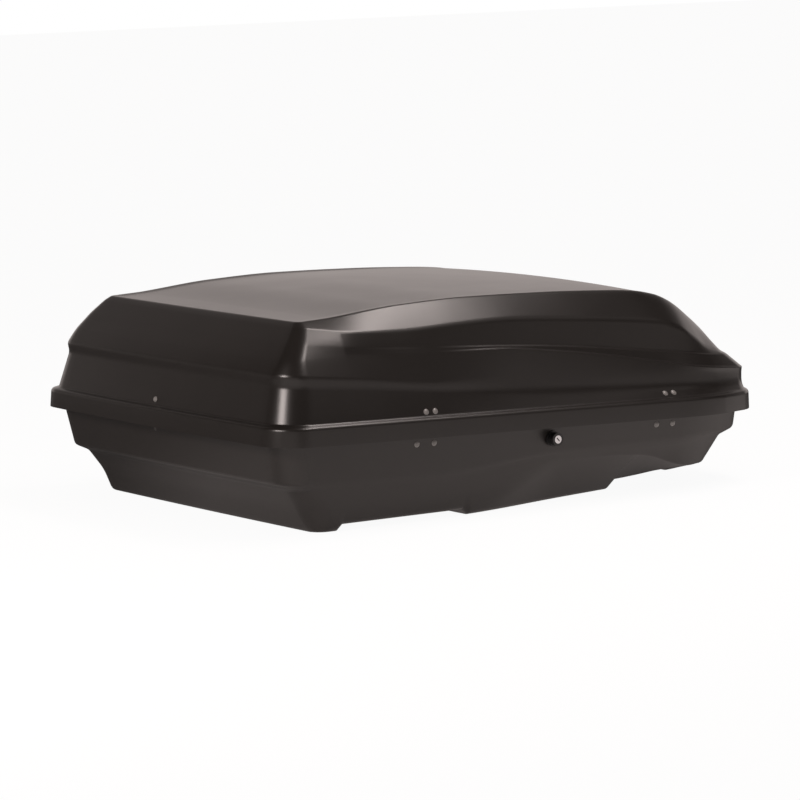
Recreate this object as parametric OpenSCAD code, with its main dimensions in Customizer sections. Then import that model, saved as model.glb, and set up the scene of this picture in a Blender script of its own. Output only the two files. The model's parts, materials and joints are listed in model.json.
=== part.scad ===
// Roof cargo box: a lofted tray and lid, side hinges, a key lock that slides
// a latch bar, two lid stays and steel plates over the roof bar slots.
// X runs to the nose, Y to the hinge side and Z up; the tray stands on z = 0.

/* [Box] */
// Length of the rim from tail to nose
box_l = 1144; // [1110:1:1200]
// Width of the rim
box_w = 872; // [850:1:920]
// Rise of the roof above the rim
lid_rise = 209; // [198:1:222]
// Depth of the tray below the rim at the tail pad
tray_depth = 200; // [194:1:212]
// Slope of the rim, nose down, in degrees
rim_rake = 1.5; // [1.1:0.1:1.9]
// Share of the width lost at the nose
nose_taper = 0.17; // [0.13:0.01:0.19]
// Bow of the nose seen from above
nose_bow = 19; // [16:1:22]
// Bow of the tail seen from above
tail_bow = 10; // [8:1:12]

/* [Shells] */
// Wall thickness of the lid
lid_wall = 3.5; // [3:0.1:4]
// Wall thickness of the tray
tray_wall = 4; // [3.5:0.1:4.5]
// Depth of the lid's skirt below the rim
skirt_h = 34; // [32:1:36]
// Width of the ledge between the skirt and the lid wall
ledge_w = 11; // [10:0.5:13]
// Crown of the roof panel, highest two thirds of the way to the nose
roof_crown = 7; // [0:1:10]
// Gap between the tray's flange and the lid
rim_gap = 1; // [0.8:0.1:1.5]

/* [Roof bars] */
// Place of the rear bar from the middle, as a share of the length
bar_rear = -0.227; // [-0.23:0.001:-0.222]
// Place of the front bar from the middle, as a share of the length
bar_front = 0.312; // [0.308:0.001:0.314]
// Length of the rear bar channel
channel_rear_l = 266; // [256:1:272]
// Length of the front bar channel
channel_front_l = 173; // [170:1:178]
// Height of the rear bar channel above the pads
channel_h = 11; // [9:0.5:13]
// Height of the front bar channel above the pads
channel_front_h = 16; // [14:0.5:18]
// Lift of the floor at the nose above the pads
nose_lift = 12; // [8:1:13]
// Distance across the box between the slot rows, as a share of the width
slot_track = 0.46; // [0.4:0.01:0.48]
// Distance along the box between the slots of one clamp
slot_pitch = 80; // [76:1:80]
// Length of a clamp slot
slot_l = 50; // [40:1:52]
// Width of a clamp slot
slot_w = 8.5; // [6.5:0.5:10]
// Thickness of the steel floor plates
plate_t = 2; // [1.5:0.5:3]

/* [Hinges] */
// Place of the rear hinge and catch from the middle, as a share of the length
hinge_rear = -0.205; // [-0.214:0.001:-0.197]
// Place of the front hinge and catch from the middle, as a share of the length
hinge_front = 0.273; // [0.262:0.001:0.274]
// Length of a hinge
hinge_l = 70; // [64:1:80]
// Diameter of the hinge knuckles
knuckle_d = 10; // [9:0.5:11]
// Diameter of the hinge pins
hinge_pin_d = 5; // [4:0.5:6]

/* [Lock] */
// Place of the lock along the box
lock_x = 50; // [42:1:60]
// Height of the lock below the rim
lock_drop = 58; // [56:1:60]
// Reach of the lock housing out of the tray wall
lock_proud = 20; // [14:1:22]
// Diameter of the lock housing
housing_d = 24; // [22:0.5:26]
// Diameter of the lock barrel
barrel_d = 15; // [13:0.5:16]
// Reach of the cam from the barrel's axis to its pin
cam_reach = 15; // [14:0.5:15.5]
// Diameter of the cam pin
cam_pin_d = 6; // [5:0.5:6.5]
// Height of the latch bar
bar_h = 21.5; // [20:0.5:23]
// Thickness of the latch bar
bar_t = 3; // [2.5:0.5:3]
// Diameter of the studs on the latch bar
stud_d = 8; // [7:0.5:9]

/* [Stays] */
// Length of a stay's upper arm between its pins
stay_upper_l = 326.3; // [316:0.1:330]
// Width of the stay arms
stay_w = 18; // [16:1:20]
// Thickness of the stay arms
stay_t = 3; // [2:0.5:3]
// Diameter of the stay pins
stay_pin_d = 8; // [7:0.5:9]

/* [Rivets] */
// Diameter of a rivet head
rivet_head_d = 11.5; // [10:0.5:12]
// Height of a rivet head
rivet_head_h = 2.2; // [1.8:0.1:2.6]
// Diameter of a rivet shank
rivet_d = 4.8; // [4:0.1:5]

/* [Hidden] */
$fn = 48;

shell_black = [0.16, 0.15, 0.14];
tray_black = [0.2, 0.19, 0.18];
zinc = [0.62, 0.63, 0.65];
chrome = [0.8, 0.8, 0.82];
nylon = [0.1, 0.1, 0.1];

half_l = box_l / 2;
half_w = box_w / 2;
lid_k = lid_rise / 209;
tray_k = tray_depth / 200;
rear_bar = bar_rear * box_l;
front_bar = bar_front * box_l;
rear_hinge = hinge_rear * box_l;
front_hinge = hinge_front * box_l;
nose_start = 0.306 * box_l;
// Where along the box the floor lies at its full depth below the rim
floor_x = -0.385 * box_l;
rim_z = tray_depth * cos(rim_rake) + floor_x * sin(rim_rake);
rim_x = skirt_h * sin(rim_rake);
fit = 0.1;
// Room between a flat bracket and the moulded wall that carries it
seat_gap = 0.4;
// Room under a rivet's head, where the moulded wall isn't quite flat
head_gap = 0.3;
run_fit = 0.05;
cut_through = 40;

flange_top = -lid_wall - rim_gap;
flange_under = flange_top - tray_wall;
flange_in = lid_wall + 3;
tray_in = ledge_w + 14;
channel_ramp = 12;

// Each level of a shell is one closed outline: insets from the rim at the
// tail, the nose and the sides, corner radii at the tail and the nose, the
// bow of the tail, heights along the box and the size of the rounded edge.
// Side insets, heights and edges are [share of the length, value] pairs, and
// a single height counts from the floor.
lid_levels = [
    [-2, -2, [[0, -2]], 68, 48, tail_bow, [[0, -skirt_h]], [[0, 0]]],
    [0, 0, [[0, 0]], 66, 46, tail_bow, [[0, 0]], [[0, 4]]],
    [ledge_w + 1, ledge_w - 2, [[0, ledge_w]], 58, 42, tail_bow, [[0, 4]], [[0, 3]]],
    [32, 9, [[0, 29], [0.12, 27], [0.85, 27], [1, 21]], 50, 36, tail_bow - 1,
     lid_heights([[0, 74], [0.17, 62], [0.32, 47], [0.6, 28], [1, 14]]),
     [[0, 4], [0.3, 5], [0.6, 9]]],
    [28, 8, [[0, 28], [0.85, 28], [1, 21]], 48, 36, tail_bow - 1,
     lid_heights([[0, 91], [0.05, 88], [0.17, 77], [0.32, 60], [0.45, 47], [0.6, 38],
                  [0.8, 30], [1, 22]]),
     [[0, 4], [0.3, 6], [0.6, 12]]],
    [62, 8, [[0, 46], [0.7, 42], [1, 24]], 44, 32, tail_bow - 5,
     lid_heights([[0, 127], [0.17, 123], [0.3, 114], [0.44, 114], [0.56, 102], [0.68, 85],
                  [0.78, 67], [0.86, 54], [0.95, 45], [1, 43]]),
     [[0, 12], [0.3, 12], [0.45, 4]]],
    [66, 44, [[0, 50]], 42, 34, tail_bow - 5,
     lid_heights([[0, 131], [0.17, 133], [0.3, 128], [0.36, 125], [0.42, 122], [0.5, 118],
                  [0.61, 109], [0.68, 101], [0.81, 86], [0.9, 75], [1, 67]]),
     [[0, 12], [0.3, 12], [0.45, 4]]],
    [104, 50, [[0, 61], [1, 60]], 38, 32, tail_bow - 7,
     lid_heights([[0, 171], [0.08, 172], [0.143, 161], [0.264, 158], [0.382, 164],
                  [0.4625, 167], [0.617, 159], [0.707, 152], [0.78, 144], [0.825, 128],
                  [0.861, 104], [0.89, 86], [0.92, 77], [1, 71]]),
     [[0, 5], [0.25, 6], [0.5, 22]]],
    [112, 56, [[0, 104], [0.8, 106], [1, 122]], 34, 30, tail_bow - 8,
     lid_heights([[0, 179], [0.096, 180], [0.29, 201], [0.425, 208.5], [0.5, 209],
                  [0.58, 208.5], [0.687, 205], [0.75, 201], [0.8, 191], [0.83, 179],
                  [0.88, 148], [0.92, 121], [0.944, 97], [0.96, 84], [1, 75]]),
     [[0, 4], [0.3, 5], [0.7, 12]]],
    [124, 68, [[0, 118], [0.8, 120], [1, 136]], 26, 24, tail_bow - 8,
     lid_heights([[0, 177], [0.096, 178], [0.29, 198.5], [0.425, 205.5], [0.5, 206],
                  [0.58, 205.5], [0.687, 203], [0.75, 199.5], [0.8, 190], [0.83, 178],
                  [0.88, 148], [0.92, 123], [0.944, 100], [0.96, 87], [1, 78]]),
     [[0, 0]]]
];

tray_levels = [
    [flange_in, flange_in, [[0, flange_in]], 60, 42, tail_bow, [[0, flange_under]], [[0, 0]]],
    [tray_in - 8, tray_in - 2, [[0, tray_in]], 42, 36, tail_bow, [[0, flange_under]], [[0, 4]]],
    [tray_in + 14, tray_in + 1, [[0, tray_in + 13]], 38, 34, tail_bow - 1,
     tray_heights([[0, -107], [0.3, -107], [0.7, -80], [0.9, -74], [1, -67]]), [[0, 6]]],
    [tray_in + 43, tray_in + 34, [[0, tray_in + 17], [0.8, tray_in + 17], [0.94, tray_in + 30]],
     38, 32, tail_bow - 2,
     tray_heights([[0, -119], [0.3, -119], [0.7, -92], [0.9, -86], [1, -78]]), [[0, 6]]],
    [tray_in + 71, tray_in + 48, [[0, tray_in + 25], [0.75, tray_in + 27], [0.94, tray_in + 76]],
     32, 26, tail_bow - 4,
     tray_heights([[0, -160], [0.45, -155], [0.67, -108], [0.77, -114], [0.85, -124],
                   [0.91, -130], [1, -122]]), [[0, 8]]],
    [tray_in + 94, tray_in + 58,
     [[0.42, tray_in + 36], [0.71, tray_in + 110], [0.94, tray_in + 160]],
     24, 16, tail_bow - 6, 0, [[0, 10]]],
    [tray_in + 116, tray_in + 73,
     [[0.42, tray_in + 58], [0.71, tray_in + 132], [0.94, tray_in + 182]],
     12, 8, tail_bow - 8, 0, [[0, 0]]]
];

// Places along the straight side of a shell where it is divided
lid_stations = [for (s = [-0.68, -0.58, -0.47, -0.37, -0.26, -0.16, -0.05, 0.05, 0.16, 0.26,
                          0.36, 0.44, 0.51, 0.57, 0.63, 0.68, 0.725, 0.77]) s * half_l];
quarters = [0.25, 0.5, 0.75];
rear_stations = channel_ends(rear_bar, channel_rear_l);
front_stations = channel_ends(front_bar, channel_front_l);
tray_stations = concat(
    rear_stations,
    [for (q = quarters)
        rear_stations[len(rear_stations) - 1] * (1 - q) + front_stations[0] * q],
    front_stations
);
corner_steps = 6;
end_steps = 4;

function lid_heights(pairs) = [for (p = pairs) [p[0], p[1] * lid_k]];
function tray_heights(pairs) = [for (p = pairs) [p[0], p[1] * tray_k]];
function channel_ends(x, l) = concat(
    [x - l / 2 - channel_ramp],
    [for (s = concat([0], quarters, [1])) x + (s - 0.5) * l],
    [x + l / 2 + channel_ramp]
);
function unit(v) = v / norm(v);
function share(x) = x / box_l + 0.5;
function nose(x) = 1 - nose_taper * pow(max(0, (x - nose_start) / (half_l - nose_start)), 2);
function inside(x, middle, l) =
    max(0, min(1, (l / 2 + channel_ramp - abs(x - middle)) / channel_ramp));
function floor_height(x) = -tray_depth + tan(rim_rake) * (x - floor_x)
    + max(channel_h * inside(x, rear_bar, channel_rear_l),
          channel_front_h * inside(x, front_bar, channel_front_l),
          nose_lift * max(0, min(1, (x - front_bar) / (channel_front_l / 2))));

// Half width of a level at a place along its straight side
function side_width(level, x) = nose(x) * (half_w - lookup(share(x), level[2]));
function level_height(level, x) =
    is_num(level[6]) ? floor_height(x) + level[6] : lookup(share(x), level[6]);
function tail_x(level, y) = -half_l + level[0] + level[5] * pow(y / (half_w - level[2][0][1]), 2);
function nose_x(level, y) = half_l - level[1] - nose_bow * pow(y / (half_w - level[2][0][1]), 2);

// One half of a level's outline, from the middle of the tail to the middle
// of the nose
function half_outline(level, stations) =
    let (w = half_w - level[2][0][1], rt = level[3], rn = level[4])
    let (xt = tail_x(level, w), xn = nose_x(level, w))
    let (tail_bulge = function (y) level[5] * (1 - pow(y / w, 2)))
    let (nose_bulge = function (y) nose_bow * (1 - pow(y / w, 2)))
    let (flat = concat(
        [for (i = [0 : end_steps - 1])
            let (y = (w - rt) * i / end_steps) [xt - tail_bulge(y), y]],
        [for (i = [0 : corner_steps])
            let (a = 90 * i / corner_steps, y = w - rt + rt * sin(a))
            [xt + rt - rt * cos(a) - tail_bulge(y), y]],
        [for (x = stations) [x, w]],
        [for (i = [0 : corner_steps])
            let (a = 90 * i / corner_steps, y = w - rn + rn * cos(a))
            [xn - rn + rn * sin(a) + nose_bulge(y), y]],
        [for (i = [1 : end_steps])
            let (y = (w - rn) * (1 - i / end_steps)) [xn + nose_bulge(y), y]]))
    [for (p = flat) [p[0], p[1] / w * side_width(level, p[0]), level_height(level, p[0])]];

function whole_outline(half) = concat(half,
    [for (i = [len(half) - 2 : -1 : 1]) [half[i][0], -half[i][1], half[i][2]]]);

function toward(from, to, reach) = from + (to - from) * min(0.4, reach / norm(to - from));

// All rings of a shell, with each inner level split in two to round its edge
function shell_rings(levels, stations) =
    let (rings = [for (level = levels) whole_outline(half_outline(level, stations))])
    let (last = len(levels) - 1)
    concat([rings[0]],
        [for (k = [1 : last - 1], other = [k - 1, k + 1])
            [for (j = [0 : len(rings[k]) - 1])
                let (p = rings[k][j])
                toward(p, rings[other][j], lookup(share(p[0]), levels[k][7]))]],
        [rings[last]]);

// Points moved inward by the wall thickness, square to the surface
function ring_inside(rings, wall) =
    let (n = len(rings[0]), last = len(rings) - 1)
    [for (k = [0 : last]) [for (j = [0 : n - 1])
        let (up = rings[min(k + 1, last)][j] - rings[max(k - 1, 0)][j])
        let (along = rings[k][(j + 1) % n] - rings[k][(j + n - 1) % n])
        rings[k][j] + wall * unit(cross(along, up))]];

// The panel that closes a shell: rows across the box between the last
// ring's two sides, from the tail to the nose
function panel_index(row, col, rows, n) =
    row == 0 ? (end_steps - col + n) % n
    : row == rows ? n / 2 - end_steps + col
    : col == 0 ? end_steps + row
    : n - end_steps - row;

function panel_point(ring, row, col, rows, crown) =
    let (n = len(ring), cols = 2 * end_steps)
    row == 0 || row == rows || col == 0 || col == cols
        ? ring[panel_index(row, col, rows, n)]
        : let (a = ring[end_steps + row], b = ring[n - end_steps - row], t = col / cols)
          let (s = row / rows, bulge = 4 * t * (1 - t))
          let (tail = ring[0][0] - ring[end_steps][0], tip = ring[n / 2][0] - ring[n / 2 - end_steps][0])
          a + (b - a) * t
            + [bulge * (tail * pow(1 - s, 4) + tip * pow(s, 4)), 0, crown * bulge * 6.75 * s * s * (1 - s)];

function panel_points(ring, crown) =
    let (rows = len(ring) / 2 - 2 * end_steps)
    [for (r = [0 : rows]) [for (c = [0 : 2 * end_steps]) panel_point(ring, r, c, rows, crown)]];

// Inner side of a panel; its edge is the inner side of the last ring
function panel_inside(panel, inner_ring, wall) =
    let (rows = len(panel) - 1, cols = len(panel[0]) - 1)
    [for (r = [0 : rows]) [for (c = [0 : cols])
        r == 0 || r == rows || c == 0 || c == cols
            ? inner_ring[panel_index(r, c, rows, len(inner_ring))]
            : panel[r][c] + wall * unit(cross(panel[r + 1][c] - panel[r - 1][c],
                                              panel[r][c + 1] - panel[r][c - 1]))]];

function quad(a, b, c, d) = [[a, b, c], [a, c, d]];
function turned(faces, turn) = turn ? [for (f = faces) [f[2], f[1], f[0]]] : faces;
function flat_list(lists) = [for (l = lists, item = l) item];

// Faces of one skin: bands between rings, then the panel
function skin_faces(n, bands, rows) =
    let (cols = 2 * end_steps, ring0 = bands * n, inner0 = (bands + 1) * n)
    let (vertex = function (r, c)
        r == 0 || r == rows || c == 0 || c == cols
            ? ring0 + panel_index(r, c, rows, n)
            : inner0 + (r - 1) * (cols - 1) + c - 1)
    concat(
        flat_list([for (k = [0 : bands - 1], j = [0 : n - 1])
            let (m = (j + 1) % n) quad(k * n + j, k * n + m, (k + 1) * n + m, (k + 1) * n + j)]),
        flat_list([for (r = [0 : rows - 1], c = [0 : cols - 1])
            quad(vertex(r, c), vertex(r + 1, c), vertex(r + 1, c + 1), vertex(r, c + 1))]));

function panel_middle(panel) =
    [for (r = [1 : len(panel) - 2], c = [1 : len(panel[0]) - 2]) panel[r][c]];

// A closed shell between its outer skin and the same skin moved inward
module lofted_shell(levels, stations, wall, crown, upward) {
    side = upward ? wall : -wall;
    rings = shell_rings(levels, stations);
    inner = ring_inside(rings, side);
    n = len(rings[0]);
    bands = len(rings) - 1;
    panel = panel_points(rings[bands], crown);
    inner_panel = panel_inside(panel, inner[bands], side);
    outside = concat(flat_list(rings), panel_middle(panel));
    inside = concat(flat_list(inner), panel_middle(inner_panel));
    skin = skin_faces(n, bands, len(panel) - 1);
    shift = len(outside);
    rim = flat_list([for (j = [0 : n - 1])
        let (m = (j + 1) % n) quad(j, shift + j, shift + m, m)]);
    faces = concat(skin, [for (f = skin) [f[2] + shift, f[1] + shift, f[0] + shift]], rim);
    polyhedron(concat(outside, inside), turned(faces, !upward));
}

// Everything at the rim is laid out in the rim's own plane
module rim_frame() {
    translate([rim_x, 0, rim_z])
        rotate([0, rim_rake, 0])
            children();
}

// Wall lines seen along the box: outward distance and lean of the lid wall
// above the ledge and of the tray wall below the flange
function lid_lean(x) =
    atan2(side_width(lid_levels[2], x) - side_width(lid_levels[3], x),
          level_height(lid_levels[3], x) - level_height(lid_levels[2], x));
function lid_out(x, z) =
    side_width(lid_levels[2], x) - (z - level_height(lid_levels[2], x)) * tan(lid_lean(x));
function tray_lean(x) =
    atan2(side_width(tray_levels[1], x) - side_width(tray_levels[2], x),
          flange_under - level_height(tray_levels[2], x));
function tray_out(x, z) = side_width(tray_levels[1], x) - (flange_under - z) * tan(tray_lean(x));
function skirt_lean() = atan2(2, skirt_h);
function skirt_out(x, z) = side_width(lid_levels[1], x) - z * tan(skirt_lean());

// Frames on a side wall: Z points out of the wall and Y up along it. Side is
// 1 on the hinge side and -1 on the lock side.
module on_wall(x, out, z, lean, side) {
    translate([x, side * out, z])
        rotate([-side * (90 - lean), 0, 0])
            mirror([0, side > 0 ? 1 : 0, 0])
                children();
}
module on_lid(x, z, side) {
    on_wall(x, lid_out(x, z), z, lid_lean(x), side) children();
}
module on_tray(x, z, side) {
    on_wall(x, tray_out(x, z), z, -tray_lean(x), side) children();
}
module on_skirt(x, z, side) {
    on_wall(x, skirt_out(x, z), z, skirt_lean(), side) children();
}

// A blind rivet with its domed head at z = 0 and its tail past the grip
tail_d = rivet_d * 1.5;
tail_h = 2;
module rivet(grip) {
    dome_r = (pow(rivet_head_d / 2, 2) + pow(rivet_head_h, 2)) / (2 * rivet_head_h);
    translate([0, 0, head_gap])
        intersection() {
            translate([0, 0, rivet_head_h - dome_r])
                sphere(r = dome_r);
            cylinder(d = rivet_head_d, h = rivet_head_h);
        }
    translate([0, 0, -grip - head_gap])
        cylinder(d = rivet_d, h = grip + 2 * head_gap);
    translate([0, 0, -grip - head_gap - tail_h])
        cylinder(d = tail_d, h = tail_h);
}
module rivet_hole() {
    translate([0, 0, -cut_through / 2])
        cylinder(d = rivet_d + 2 * fit, h = cut_through);
}
// Room for a rivet's tail in whatever lies behind the grip
module rivet_tail_room(grip) {
    room = tail_h + 3;
    translate([0, 0, -grip - room])
        cylinder(d = tail_d + 1, h = room);
}

// Hinge line: just under the skirt
hinge_z = -skirt_h - knuckle_d / 2 - 1;
hinge_y = half_w - 7;
leaf_t = 2;
knuckle_gap = 0.4;
knuckle_mid = hinge_l * 0.36;

// Rivet places
hinge_places = [rear_hinge, front_hinge];
hinge_rivet_dx = hinge_l / 2 - 9;
hinge_lid_rivet_z = -skirt_h / 2 - 4;
hinge_base_rivet_z = hinge_z - 24;
striker_rivet_dx = 10;
striker_rivet_z = 12;
guide_rivet_dx = 19;
guide_rivet_z = -48;

module for_hinge_rivets_on_lid(x) {
    for (dx = [-hinge_rivet_dx, hinge_rivet_dx])
        on_skirt(x + dx, hinge_lid_rivet_z, 1) children();
}
module for_hinge_rivets_on_tray(x) {
    for (dx = [-hinge_rivet_dx, hinge_rivet_dx])
        on_tray(x + dx, hinge_base_rivet_z, 1) children();
}
module for_striker_rivets(x) {
    for (dx = [-striker_rivet_dx, striker_rivet_dx])
        on_lid(x + dx, striker_rivet_z, -1) children();
}
module for_guide_rivets(x) {
    for (dx = [-guide_rivet_dx, guide_rivet_dx])
        on_tray(x + dx, guide_rivet_z, -1) children();
}

// A profile drawn as [distance from the middle plane, height] and drawn out
// along the box, on the hinge side or on the lock side
module along_box(x, l, side) {
    translate([x - l / 2, 0, 0])
        mirror([0, side < 0 ? 1 : 0, 0])
            rotate([90, 0, 90])
                linear_extrude(l)
                    children();
}

module knuckle(x, l) {
    translate([x - l / 2, hinge_y, hinge_z])
        rotate([0, 90, 0])
            difference() {
                cylinder(d = knuckle_d, h = l);
                translate([0, 0, -1])
                    cylinder(d = hinge_pin_d + 2 * run_fit, h = l + 2);
            }
}

module hinge_lid_leaf(x) {
    out = skirt_out(x, hinge_lid_rivet_z) - lid_wall / cos(skirt_lean()) - seat_gap;
    leaf_top = flange_under - 4;
    leaf_foot = hinge_z + knuckle_d / 2 + 2;
    lean = tan(skirt_lean());
    difference() {
        union() {
            knuckle(x, knuckle_mid - 2 * knuckle_gap);
            along_box(x, hinge_l, 1)
                leaf_strip(out, lean, leaf_foot, leaf_top);
            difference() {
                along_box(x, knuckle_mid - 2 * knuckle_gap, 1)
                    leaf_strip(out, lean, hinge_z, leaf_foot + 0.1);
                pin_bore(x);
            }
        }
        for_hinge_rivets_on_lid(x) rivet_hole();
    }
}
module leaf_strip(out, lean, foot, top) {
    function at(z) = out - (z - hinge_lid_rivet_z) * lean;
    polygon([[at(foot) - leaf_t, foot], [at(foot), foot], [at(top), top], [at(top) - leaf_t, top]]);
}
module pin_bore(x) {
    translate([x - hinge_l, hinge_y, hinge_z])
        rotate([0, 90, 0])
            cylinder(d = hinge_pin_d + 2 * run_fit, h = 2 * hinge_l);
}

module hinge_base_leaf(x) {
    end_l = (hinge_l - knuckle_mid) / 2;
    plate_top = hinge_z - 7;
    plate_foot = hinge_base_rivet_z - 12;
    web_t = 2.5;
    function at(z) = tray_out(x, z) + seat_gap / cos(tray_lean(x));
    difference() {
        union() {
            for (s = [-1, 1])
                knuckle(x + s * (hinge_l - end_l) / 2, end_l);
            difference() {
                for (s = [-1, 1])
                    along_box(x + s * (hinge_l - end_l) / 2, end_l, 1)
                        polygon([
                            [hinge_y, hinge_z - knuckle_d / 2 + web_t],
                            [hinge_y, hinge_z - knuckle_d / 2],
                            [at(plate_top) + leaf_t / 2, plate_top - web_t],
                            [at(plate_top), plate_top]]);
                pin_bore(x);
            }
            along_box(x, hinge_l, 1)
                polygon([
                    [at(plate_top), plate_top],
                    [at(plate_top) + leaf_t, plate_top],
                    [at(plate_foot) + leaf_t, plate_foot],
                    [at(plate_foot), plate_foot]]);
        }
        for_hinge_rivets_on_tray(x) rivet_hole();
    }
}

module hinge_pin(x) {
    head_d = hinge_pin_d + 3;
    head_t = 1.5;
    end = hinge_l / 2 + fit;
    translate([x, hinge_y, hinge_z])
        rotate([0, 90, 0]) {
            translate([0, 0, -end])
                cylinder(d = hinge_pin_d, h = 2 * end);
            for (s = [-1, 1])
                translate([0, 0, s * (end + head_t / 2)])
                    cylinder(d = head_d, h = head_t, center = true);
        }
}

// Latch bar and what it meets, all inside the tray wall on the lock side
lock_z = -lock_drop;
cam_side = cam_reach * sin(45);
bar_travel = 2 * cam_side;
bar_out = half_w - 60;
bar_top = lock_z - cam_side + 1.2;
bar_foot = bar_top - bar_h;
bar_mid = (bar_top + bar_foot) / 2;
stud_rest = bar_travel + 3;
leg_w = 24;
striker_t = 2.5;
guide_t = 2;
guide_arm_t = 2.5;
leg_out = bar_out + 4.5;
guide_half = stud_rest + stud_d / 2 + 4;

module latch_bar() {
    first = rear_hinge - guide_half - bar_travel - 14;
    last = front_hinge + guide_half + 14;
    fork_x = lock_x + cam_side;
    fork_half = cam_pin_d / 2 + 0.6;
    fork_foot = lock_z - cam_reach - cam_pin_d / 2 - 1;
    stud_l = leg_out - bar_out + 3;
    color(zinc) rim_frame()
        difference() {
            union() {
                translate([first, -bar_out, bar_foot])
                    cube([last - first, bar_t, bar_h]);
                for (x = hinge_places)
                    translate([x + stud_rest, -bar_out + bar_t / 2, bar_mid])
                        rotate([90, 0, 0])
                            cylinder(d = stud_d, h = stud_l + bar_t / 2);
            }
            translate([fork_x - fork_half, -bar_out - 1, fork_foot])
                cube([2 * fork_half, bar_t + 2, bar_h]);
        }
}

module striker(x) {
    tab_l = 36;
    shelf_z = 2.5;
    shelf_top = shelf_z + striker_t;
    tab_top = striker_rivet_z + 9;
    leg_foot = bar_foot - 6;
    notch_h = stud_d + 2;
    function face(z) = lid_out(x, z) - (lid_wall + seat_gap) / cos(lid_lean(x));
    color(zinc) rim_frame()
        difference() {
            union() {
                along_box(x, tab_l, -1)
                    polygon([
                        [face(shelf_z), shelf_z], [face(tab_top), tab_top],
                        [face(tab_top) - striker_t, tab_top],
                        [face(shelf_top) - striker_t, shelf_top],
                        [leg_out - striker_t, shelf_top], [leg_out - striker_t, shelf_z]]);
                along_box(x, leg_w, -1)
                    translate([leg_out - striker_t, leg_foot])
                        square([striker_t, shelf_z + 1 - leg_foot]);
            }
            translate([x + 3 - stud_d / 2 - 1, -leg_out - 1, bar_mid - notch_h / 2])
                cube([leg_w, striker_t + 2, notch_h]);
            for_striker_rivets(x) {
                rivet_hole();
                rivet_tail_room(lid_wall + seat_gap + striker_t);
            }
        }
}

module bar_guide(x) {
    arm_in = bar_out - bar_t - 4;
    arm_out = bar_out + 8;
    back_top = guide_rivet_z + 9;
    back_foot = guide_rivet_z - 14;
    arm_foot = bar_foot - 5;
    slot_gap = 0.4;
    function face(z) = tray_out(x, z) - (tray_wall + seat_gap) / cos(tray_lean(x));
    color(zinc) rim_frame()
        difference() {
            union() {
                along_box(x, 2 * (guide_half + guide_arm_t), -1)
                    polygon([
                        [face(back_foot), back_foot], [face(back_top), back_top],
                        [face(back_top) - guide_t, back_top], [face(back_foot) - guide_t, back_foot]]);
                for (s = [-1, 1])
                    along_box(x + s * (guide_half + guide_arm_t / 2), guide_arm_t, -1)
                        polygon([
                            [face(back_foot), back_foot], [face(back_top), back_top],
                            [arm_in, bar_top + 6], [arm_in, arm_foot], [arm_out, arm_foot]]);
            }
            translate([x - 2 * guide_half, -bar_out - slot_gap, bar_foot - slot_gap])
                cube([4 * guide_half, bar_t + 2 * slot_gap, bar_h + 2 * slot_gap]);
            for_guide_rivets(x) rivet_hole();
        }
}

// Lock: a threaded housing through the tray wall, its nut, the barrel and cam
lock_face = tray_out(lock_x, lock_z) + lock_proud;
housing_end = bar_out + 6;
nut_t = 7;
cam_t = 3;
cam_out = bar_out - bar_t - 4;

// Z points outward along the lock's axis, from the middle plane of the box
module lock_axis() {
    rim_frame()
        translate([lock_x, 0, lock_z])
            rotate([90, 0, 0])
                children();
}

module lock_housing() {
    lip_t = 3;
    lip_d = housing_d + 5;
    lip_back = tray_out(lock_x, lock_z + lip_d / 2) + fit;
    color(nylon) lock_axis()
        difference() {
            union() {
                translate([0, 0, housing_end])
                    cylinder(d = housing_d, h = lock_face - housing_end);
                translate([0, 0, lip_back])
                    cylinder(d = lip_d, h = lip_t);
            }
            translate([0, 0, housing_end - 1])
                cylinder(d = barrel_d + 2 * run_fit, h = lock_face - housing_end + 2);
        }
}

module lock_nut() {
    nut_d = housing_d + 8;
    wall_in = tray_out(lock_x, lock_z - nut_d / 2) - tray_wall / cos(tray_lean(lock_x)) - fit;
    color(zinc) lock_axis()
        translate([0, 0, wall_in - nut_t])
            difference() {
                cylinder(d = nut_d, h = nut_t, $fn = 6);
                translate([0, 0, -1])
                    cylinder(d = housing_d + 2 * fit, h = nut_t + 2);
            }
}

module lock_barrel() {
    tail_d = barrel_d - 5;
    key_w = 2.2;
    key_l = 9;
    color(chrome) lock_axis()
        difference() {
            union() {
                translate([0, 0, housing_end])
                    cylinder(d = barrel_d, h = lock_face + 0.6 - housing_end);
                translate([0, 0, cam_out - cam_t - 2])
                    cylinder(d = tail_d, h = housing_end - cam_out + cam_t + 2 + 0.1);
            }
            rotate([0, 0, 45])
                translate([-key_w / 2, -key_l / 2, lock_face - 6])
                    cube([key_w, key_l, 10]);
        }
}

module lock_cam() {
    hub_d = barrel_d + 3;
    tail_d = barrel_d - 5;
    arm_w = cam_pin_d + 5;
    pin_l = bar_out - cam_out + 1.5;
    color(zinc) lock_axis()
        rotate([0, 0, 45])
            difference() {
                union() {
                    translate([0, 0, cam_out - cam_t])
                        cylinder(d = hub_d, h = cam_t);
                    translate([-arm_w / 2, -cam_reach, cam_out - cam_t])
                        cube([arm_w, cam_reach, cam_t]);
                    translate([0, -cam_reach, cam_out - cam_t])
                        cylinder(d = arm_w, h = cam_t);
                    translate([0, -cam_reach, cam_out - cam_t])
                        cylinder(d = cam_pin_d, h = pin_l + cam_t);
                }
                translate([0, 0, cam_out - cam_t - 1])
                    cylinder(d = tail_d + 2 * run_fit, h = cam_t + 2);
            }
}

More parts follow.
